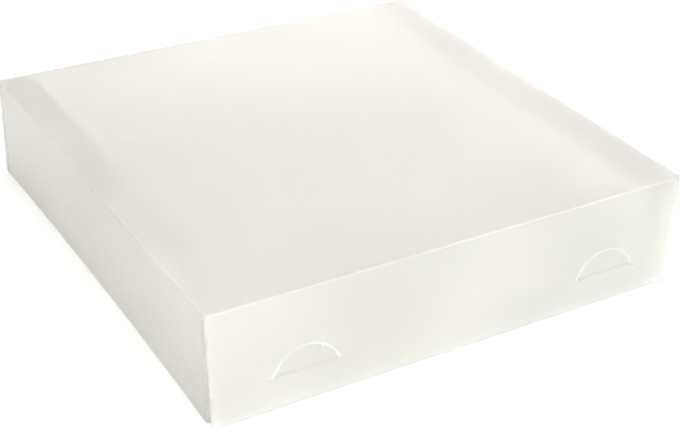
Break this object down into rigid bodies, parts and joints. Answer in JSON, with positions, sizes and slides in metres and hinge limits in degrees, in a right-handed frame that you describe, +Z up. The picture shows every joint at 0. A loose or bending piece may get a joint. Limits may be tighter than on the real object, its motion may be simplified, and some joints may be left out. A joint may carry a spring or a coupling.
{
  "type": "hinged-lid gift box",
  "caption": "Shallow square gift box folded from frosted translucent plastic sheet, with a hinged lid and a front flap that has half-moon locking tongues.",
  "frame": {"origin": "centre of the tray's underside, on the surface that the box stands on", "axes": "+Z up, -Y towards the front flap, +X to the right seen from the front"},
  "size_m": [0.305, 0.3105, 0.066],
  "materials": {
    "tray_sheet": "frosted translucent polypropylene sheet, satin",
    "lid_sheet": "frosted translucent polypropylene sheet, satin",
    "flap_sheet": "frosted translucent polypropylene sheet, satin"
  },
  "bodies": {
    "tray": {"tray": "tray_sheet"},
    "lid": {"lid": "lid_sheet"},
    "front_flap": {"front_flap": "flap_sheet"}
  },
  "joints": [
    {"name": "lid_hinge", "type": "hinge", "parent": "tray", "child": "lid", "pos_m": [0, 0.1517, 0.0657], "axis": [-1, 0, 0], "range_deg": [0, 180]},
    {"name": "flap_hinge", "type": "hinge", "parent": "lid", "child": "front_flap", "pos_m": [0, -0.1526, 0.0657], "axis": [-1, 0, 0], "range_deg": [-5, 85], "stiffness_Nm_per_rad": 0.02, "springref_deg": 0.84}
  ]
}
